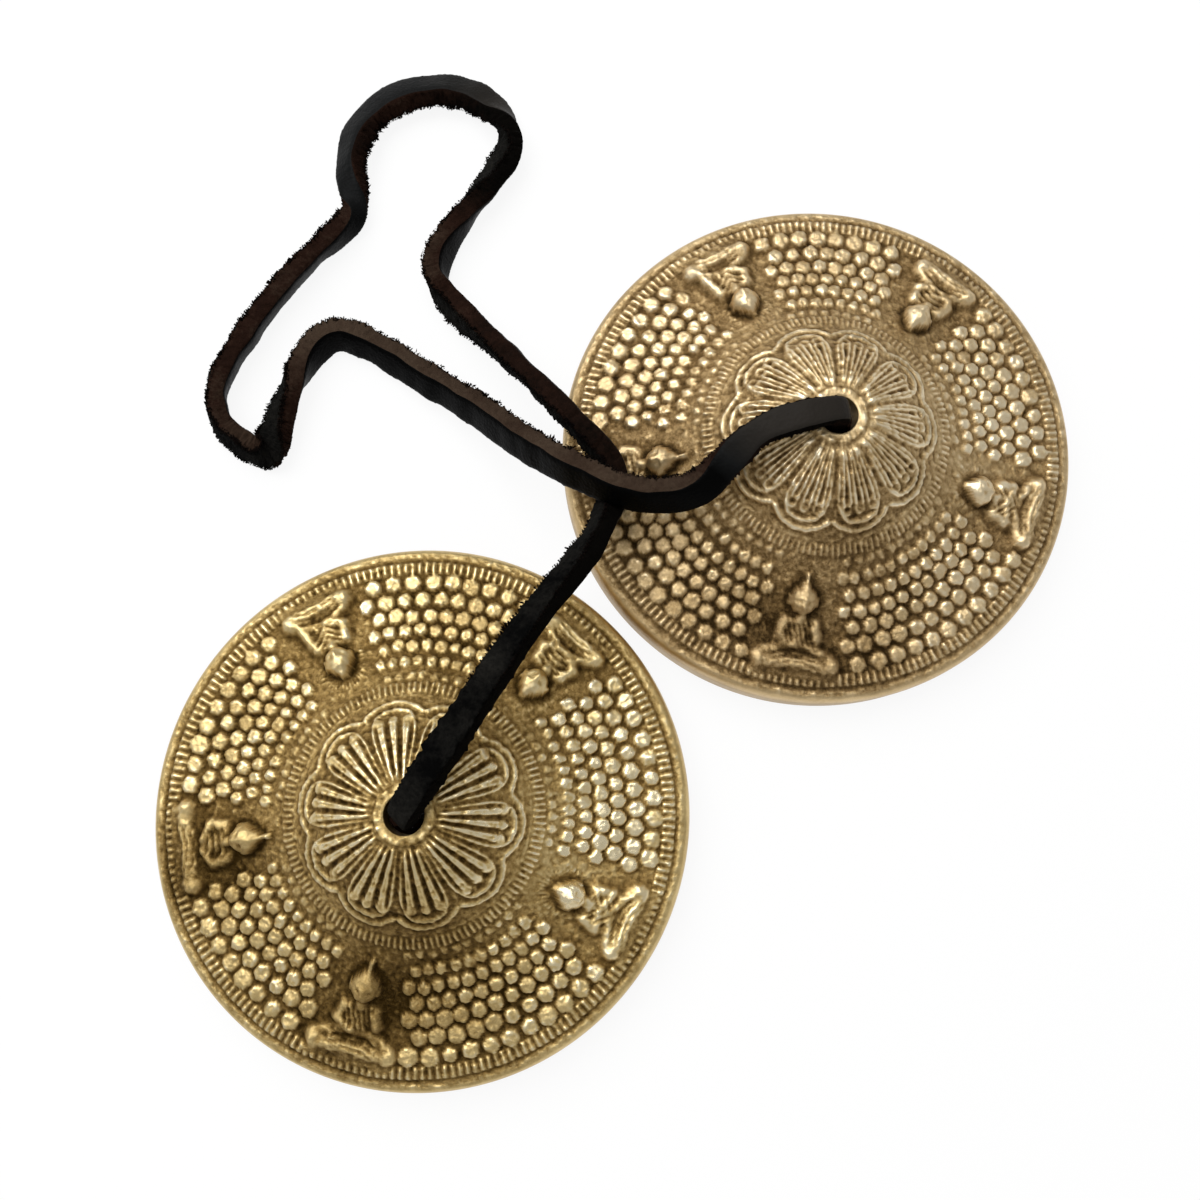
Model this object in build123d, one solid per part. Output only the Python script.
from build123d import *
import math
import os

os.makedirs("parts", exist_ok=True)

# A pair of tingsha cymbals on a leather thong, as they lie on a table.
# Millimetres; Z is up, the table is Z = 0, and the origin is midway between the two cymbals.

# Where the two cymbals lie on the table
LEFT_AT = (-27.63, -27.10)
RIGHT_AT = (27.63, 27.10)

# Outside of each cymbal, from the rim inwards
RIM_RADIUS = 37.5
RIM_HEIGHT = 7.0
RIM_BAND = 3.5
RIM_BAND_RISE = 0.4
EDGE_DROP = 1.8
EDGE_WIDTH = 1.3
FOOT_CHAMFER = 0.5
WAIST_RADIUS = 23.5
WAIST_HEIGHT = 9.8
DOME_RADIUS = 15.6
DOME_FOOT_HEIGHT = 14.4
SHOULDER_RADIUS = 10.5
SHOULDER_HEIGHT = 18.5
CROWN_HEIGHT = 22.0
LIP_WIDTH = 1.5
LIP_STEP = 0.4

# Inside of each cymbal: the flat ring that it rests on, the wall over the hollow and the bore
LAND_WIDTH = 4.3
WALL = 4.0
BORE_LENGTH = 5.0

# Raised ring between the dome and the bead fields
COLLAR_WIDTH = 0.7
COLLAR_RISE = 0.5

# How deep the relief is rooted in the wall, and how much of a figure block's rise its top edge is rounded by
RELIEF_ROOT = 1.2
RELIEF_ROUNDING = 0.4

# Bead fields: staggered rows of round studs, with plain ground left round the seated figures
BEADS_PER_TURN = 72
BEAD_FIELD_MARGIN = 1.8
ROW_PITCH = 2.32
BEAD_DIAMETER = 1.86
BEAD_GAP = 0.3
BEAD_RISE = 0.65
GROUND_HALF_ANGLE = 12.0

# Lotus rosette on the dome: petal outlines with three nail-shaped stamens in each
PETALS = 10
LEFT_LOTUS_TURN = 31.0
RIGHT_LOTUS_TURN = 0.0
PETAL_LENGTH = 10.6
PETAL_TIP_RADIUS = 3.2
PETAL_ROOT_RADIUS = 1.1
PETAL_LINE = 0.6
PETAL_RISE = 0.25
STAMEN_WIDTH = 0.75
STAMEN_LENGTH = 4.6
STAMEN_HEAD_RADIUS = 0.65
STAMEN_TIP_GAP = 2.2
STAMEN_FAN = 15.0

# Seated figures: their places round each cymbal in degrees, and their own sizes
LEFT_FIGURES = (50.0, 120.5, 190.0, 256.0, 334.0)
RIGHT_FIGURES = (53.5, 118.5, 189.0, 263.5, 343.0)
LAP_INSET = 1.3
LAP_WIDTH = 10.6
LAP_DEPTH = 3.0
LAP_RISE = 1.6
KNEE_RADIUS = 1.7
KNEE_RISE = 1.9
TORSO_LENGTH = 6.0
TORSO_WIDTH = 4.6
TORSO_CORNER = 1.5
TORSO_RISE = 1.6
LAP_OVERLAP = 0.5
ARM_WIDTH = 1.6
ARM_LENGTH = 5.6
ARM_LEAN = 14.0
ARM_RISE = 1.3
NECK_LENGTH = 1.4
NECK_RADIUS = 0.95
NECK_RISE = 1.2
HEAD_LENGTH = 4.2
HEAD_WIDTH = 3.3
HEAD_CORNER = 1.55
HEAD_RISE = 2.3
TOPKNOT_RADIUS = 0.9
TOPKNOT_RISE = 1.6
BLOCK_OVERLAP = 0.4

# Leather thong as a round tube: its play in the bores, the slit at each swing joint, and the bend over each lip
THONG_DIAMETER = 4.4
THONG_PLAY = 0.4
JOINT_SLIT = 0.2
EXIT_RISE = 2.2
EXIT_BEND_OUT = 3.2
EXIT_BEND_UP = 5.0

# Stopper knot in each hollow: a flat turn, a leaning wrap under it and the cut tail
KNOT_GAP = 0.3
TURN_RADIUS = 2.6
TURN_STRAND = 2.1
WRAP_RADIUS = 2.1
WRAP_STRAND = 1.9
WRAP_LEAN = 62.0
WRAP_TURN = 20.0
TAIL_RADIUS = 1.8
TAIL_LENGTH = 7.5
TAIL_LEAN = 24.0

# The thong's way from the left crown to the right one: points chosen by hand over the table and the cymbals.
# It arches to the right cymbal's rim, goes under its own last run, loops round on the table and comes back.
THONG_ROUTE = (
    (-19.2, -13.5, 29.0),
    (-12.5, -1.6, 25.4),
    (-6.5, 9.0, 19.2),
    (-2.4, 16.6, 13.6),
    (0.3, 22.0, 14.0),
    (-4.3, 27.5, 13.4),
    (-11.0, 34.0, 10.0),
    (-19.0, 42.3, 5.4),
    (-27.2, 50.2, 3.1),
    (-31.1, 56.4, 2.7),
    (-28.3, 62.7, 2.7),
    (-22.7, 69.5, 2.8),
    (-18.6, 76.5, 2.7),
    (-20.5, 84.5, 2.8),
    (-29.1, 88.1, 2.7),
    (-38.5, 86.4, 2.8),
    (-45.3, 80.3, 2.7),
    (-46.4, 72.2, 2.8),
    (-42.4, 64.3, 2.9),
    (-46.9, 56.6, 2.7),
    (-53.4, 49.5, 2.8),
    (-59.7, 42.1, 2.7),
    (-63.8, 35.6, 2.8),
    (-63.4, 28.6, 2.7),
    (-60.6, 24.2, 2.8),
    (-57.0, 21.9, 2.7),
    (-53.2, 23.2, 2.8),
    (-51.9, 27.4, 2.7),
    (-51.2, 33.6, 2.8),
    (-49.5, 40.3, 2.7),
    (-45.8, 44.9, 2.8),
    (-39.9, 43.6, 2.7),
    (-31.2, 38.5, 3.0),
    (-22.4, 32.8, 5.8),
    (-13.6, 25.8, 12.0),
    (-5.7, 18.8, 18.2),
    (1.4, 15.3, 19.6),
    (9.4, 15.8, 19.6),
    (13.4, 20.5, 22.5),
    (17.5, 23.9, 26.2),
)

thong_radius = THONG_DIAMETER / 2
bore_radius = thong_radius + THONG_PLAY
lip_radius = bore_radius + LIP_WIDTH
land_radius = RIM_RADIUS - LAND_WIDTH
flare_radius = RIM_RADIUS - RIM_BAND
ceiling_height = CROWN_HEIGHT - BORE_LENGTH

LIP_FOOT = (lip_radius, CROWN_HEIGHT - LIP_STEP)
SHOULDER = (SHOULDER_RADIUS, SHOULDER_HEIGHT)
DOME_FOOT = (DOME_RADIUS, DOME_FOOT_HEIGHT)
WAIST = (WAIST_RADIUS, WAIST_HEIGHT)
FLARE_END = (flare_radius, RIM_HEIGHT + RIM_BAND_RISE)
UPRIGHT = (Align.CENTER, Align.CENTER, Align.MIN)


def arc_height(first, middle, last, radius):
    """Height, at a radius, of the round arc through three points of a profile."""
    ax, ay = middle[0] - first[0], middle[1] - first[1]
    bx, by = last[0] - first[0], last[1] - first[1]
    turn = 2 * (ax * by - ay * bx)
    cx = first[0] + (by * (ax**2 + ay**2) - ay * (bx**2 + by**2)) / turn
    cy = first[1] + (ax * (bx**2 + by**2) - bx * (ax**2 + ay**2)) / turn
    size = math.hypot(first[0] - cx, first[1] - cy)
    side = 1 if middle[1] > cy else -1
    return cy + side * math.sqrt(size**2 - (radius - cx)**2)


def surface(radius):
    """Height of the bare outside of a cymbal at a radius."""
    if radius < DOME_RADIUS:
        return arc_height(LIP_FOOT, SHOULDER, DOME_FOOT, radius)
    return arc_height(DOME_FOOT, WAIST, FLARE_END, radius)


def profile_line(*points):
    """Straight edges of the cymbal's profile through points given as radius and height."""
    places = [(radius, 0, height) for radius, height in points]
    return [Edge.make_line(a, b) for a, b in zip(places, places[1:])]


def profile_arc(*points):
    """One round edge of the cymbal's profile through three points given as radius and height."""
    return [Edge.make_three_point_arc(*[(radius, 0, height) for radius, height in points])]


def shell():
    """The turned shape of one cymbal: domed and flared wall, rim, crown lip and bore."""
    collar_in = (DOME_RADIUS - COLLAR_WIDTH / 2, surface(DOME_RADIUS - COLLAR_WIDTH / 2))
    collar_top = (DOME_RADIUS, DOME_FOOT_HEIGHT + COLLAR_RISE)
    collar_out = (DOME_RADIUS + COLLAR_WIDTH / 2, surface(DOME_RADIUS + COLLAR_WIDTH / 2))
    bore_low = (bore_radius, ceiling_height)
    throat = (DOME_RADIUS, DOME_FOOT_HEIGHT - WALL)
    outline = profile_line(bore_low, (bore_radius, CROWN_HEIGHT), (lip_radius, CROWN_HEIGHT), LIP_FOOT)
    outline += profile_arc(LIP_FOOT, SHOULDER, collar_in)
    outline += profile_line(collar_in, collar_top, collar_out)
    outline += profile_arc(collar_out, WAIST, FLARE_END)
    outline += profile_line(
        FLARE_END,
        (RIM_RADIUS - EDGE_WIDTH, RIM_HEIGHT),
        (RIM_RADIUS, RIM_HEIGHT - EDGE_DROP),
        (RIM_RADIUS, FOOT_CHAMFER),
        (RIM_RADIUS - FOOT_CHAMFER, 0),
        (land_radius, 0),
        (WAIST_RADIUS, WAIST_HEIGHT - WALL),
        throat,
    )
    outline += profile_arc(throat, (SHOULDER_RADIUS, SHOULDER_HEIGHT - WALL), bore_low)
    return revolve(make_face(Wire(outline)), Axis.Z)


def raised(outline, radius, aside, rise):
    """A block of relief over a flat outline, rooted in the wall and rounded at its top edge."""
    block = extrude(outline, RELIEF_ROOT + rise)
    block = fillet(block.edges().group_by(Axis.Z)[-1], RELIEF_ROUNDING * rise)
    return Pos(radius, aside, surface(radius) - RELIEF_ROOT) * block


def figure():
    """One seated figure at angle zero: crossed legs at the rim side, head and topknot towards the axis."""
    lap_at = flare_radius - LAP_INSET
    torso_at = lap_at - LAP_DEPTH / 2 - TORSO_LENGTH / 2 + LAP_OVERLAP
    neck_at = torso_at - TORSO_LENGTH / 2 - NECK_LENGTH / 2 + BLOCK_OVERLAP
    head_at = neck_at - NECK_LENGTH / 2 - HEAD_LENGTH / 2 + BLOCK_OVERLAP
    topknot_at = head_at - HEAD_LENGTH / 2 - TOPKNOT_RADIUS + BLOCK_OVERLAP
    blocks = [
        raised(SlotOverall(LAP_WIDTH, LAP_DEPTH, rotation=90), lap_at, 0, LAP_RISE),
        raised(RectangleRounded(TORSO_LENGTH, TORSO_WIDTH, TORSO_CORNER), torso_at, 0, TORSO_RISE),
        raised(Circle(NECK_RADIUS), neck_at, 0, NECK_RISE),
        raised(RectangleRounded(HEAD_LENGTH, HEAD_WIDTH, HEAD_CORNER), head_at, 0, HEAD_RISE),
        raised(Circle(TOPKNOT_RADIUS), topknot_at, 0, TOPKNOT_RISE),
    ]
    for side in (1, -1):
        knee_aside = side * (LAP_WIDTH - LAP_DEPTH) / 2
        arm_aside = side * ((TORSO_WIDTH + ARM_WIDTH) / 2 - BLOCK_OVERLAP)
        blocks.append(raised(Circle(KNEE_RADIUS), lap_at, knee_aside, KNEE_RISE))
        blocks.append(raised(SlotOverall(ARM_LENGTH, ARM_WIDTH, rotation=side * ARM_LEAN), torso_at, arm_aside, ARM_RISE))
    return blocks


def teardrop(shrink):
    """A petal's outline, broad at its outer end, drawn in by a margin."""
    tip = Pos(PETAL_LENGTH / 2 - PETAL_TIP_RADIUS, 0) * Circle(PETAL_TIP_RADIUS - shrink)
    root = Pos(PETAL_ROOT_RADIUS - PETAL_LENGTH / 2, 0) * Circle(PETAL_ROOT_RADIUS - shrink)
    return make_hull(tip.edges() + root.edges())


def petal():
    """One lotus petal at angle zero, drawn on a plane that touches the dome at its shoulder."""
    lines = [teardrop(0) - teardrop(PETAL_LINE)]
    root = Pos(PETAL_ROOT_RADIUS - PETAL_LENGTH / 2, 0)
    reach = PETAL_LENGTH - PETAL_ROOT_RADIUS - STAMEN_TIP_GAP
    for lean in (-STAMEN_FAN, 0, STAMEN_FAN):
        ray = root * Rot(0, 0, lean)
        stalk = ray * Pos(reach - STAMEN_LENGTH / 2, 0) * SlotOverall(STAMEN_LENGTH, STAMEN_WIDTH)
        head = ray * Pos(reach, 0) * Circle(STAMEN_HEAD_RADIUS)
        lines.append(stalk + head)
    fall = math.degrees(math.atan(surface(SHOULDER_RADIUS - 0.5) - surface(SHOULDER_RADIUS + 0.5)))
    touching = Pos(SHOULDER_RADIUS, 0, SHOULDER_HEIGHT) * Rot(0, fall, 0) * Pos(0, 0, -RELIEF_ROOT)
    return [touching * extrude(line, RELIEF_ROOT + PETAL_RISE) for line in lines]


def beads(figures):
    """The studs of the bead fields, from the rim inwards to the collar, between the figures."""
    studs = []
    outer_row = flare_radius - BEAD_FIELD_MARGIN
    rows = int((outer_row - DOME_RADIUS - BEAD_FIELD_MARGIN) / ROW_PITCH) + 1
    for row in range(rows):
        radius = outer_row - row * ROW_PITCH
        room = radius * 2 * math.pi / BEADS_PER_TURN - BEAD_GAP
        bead = Cylinder(min(BEAD_DIAMETER, room) / 2, BEAD_RISE + RELIEF_ROOT, align=UPRIGHT)
        for place in range(BEADS_PER_TURN):
            angle = (place + 0.5 * (row % 2)) * 360 / BEADS_PER_TURN
            away = min(abs((angle - at + 180) % 360 - 180) for at in figures)
            if away > GROUND_HALF_ANGLE:
                studs.append(Rot(0, 0, angle) * Pos(radius, 0, surface(radius) - RELIEF_ROOT) * bead)
    return studs


def cymbal(figures, lotus_turn):
    """One cymbal: the turned shell with its cast relief, standing on its rim at the origin."""
    relief = beads(figures)
    for at in figures:
        relief += [Rot(0, 0, at) * block for block in figure()]
    for place in range(PETALS):
        relief += [Rot(0, 0, lotus_turn + place * 360 / PETALS) * line for line in petal()]
    return shell().fuse(*relief)


def knot():
    """The thong's end about the bore's axis: the stretch inside the bore, the knot under it and the cut tail."""
    turn_at = ceiling_height - KNOT_GAP - TURN_STRAND
    wrap_at = turn_at - TURN_STRAND
    stem = Pos(0, 0, turn_at) * Cylinder(thong_radius, CROWN_HEIGHT + JOINT_SLIT - turn_at, align=UPRIGHT)
    turn = Pos(0, 0, turn_at) * Torus(TURN_RADIUS, TURN_STRAND)
    wrap = Pos(0, 0, wrap_at) * Rot(WRAP_LEAN, 0, WRAP_TURN) * Torus(WRAP_RADIUS, WRAP_STRAND)
    heart = Pos(0, 0, wrap_at) * Sphere(TURN_STRAND)
    tail = Pos(0, 0, wrap_at) * Rot(180 - TAIL_LEAN, 0, 0) * Cylinder(TAIL_RADIUS, TAIL_LENGTH, align=UPRIGHT)
    return stem + turn + wrap + heart + tail


def exit_bend(centre, towards):
    """The thong's first points over a bore: straight up out of it, then over towards its route."""
    start = CROWN_HEIGHT + 2 * JOINT_SLIT
    heading = math.atan2(towards[1] - centre[1], towards[0] - centre[0])
    bend = ((0, 0), (0, EXIT_RISE), (EXIT_BEND_OUT, EXIT_BEND_UP))
    return [(centre[0] + out * math.cos(heading), centre[1] + out * math.sin(heading), start + up) for out, up in bend]


def thong():
    """The open run of the thong, from over the left bore to over the right one."""
    left_bend = exit_bend(LEFT_AT, THONG_ROUTE[0])
    right_bend = exit_bend(RIGHT_AT, THONG_ROUTE[-1])
    route = [Vector(point) for point in (*left_bend, *THONG_ROUTE, *reversed(right_bend))]
    runs = [(b - a).length for a, b in zip(route, route[1:])]
    room = [0.9 * runs[0], *[0.45 * run for run in runs[1:-1]], 0.9 * runs[-1]]
    radii = []
    for i in range(1, len(route) - 1):
        turn = (route[i] - route[i - 1]).get_angle(route[i + 1] - route[i])
        radii.append(min(room[i - 1], room[i]) / math.tan(math.radians(turn) / 2))
    line = FilletPolyline(*route, radius=radii)
    tube = sweep(Plane(origin=route[0], z_dir=route[1] - route[0]) * Circle(thong_radius), path=line)
    print("thong radii", [round(radius, 1) for radius in radii])
    print("thong length", round(line.length, 1), "volume", round(tube.volume))
    print("section times length", round(math.pi * thong_radius**2 * line.length))
    return tube


pieces = {
    "left_cymbal": Pos(*LEFT_AT, 0) * cymbal(LEFT_FIGURES, LEFT_LOTUS_TURN),
    "right_cymbal": Pos(*RIGHT_AT, 0) * cymbal(RIGHT_FIGURES, RIGHT_LOTUS_TURN),
    "left_knot": Pos(*LEFT_AT, 0) * knot(),
    "right_knot": Pos(*RIGHT_AT, 0) * knot(),
    "thong": thong(),
}
for name, piece in pieces.items():
    export_step(piece, f"parts/{name}.step")
    print(name, "solids", len(piece.solids()), "valid", piece.is_valid, "volume", round(piece.volume))
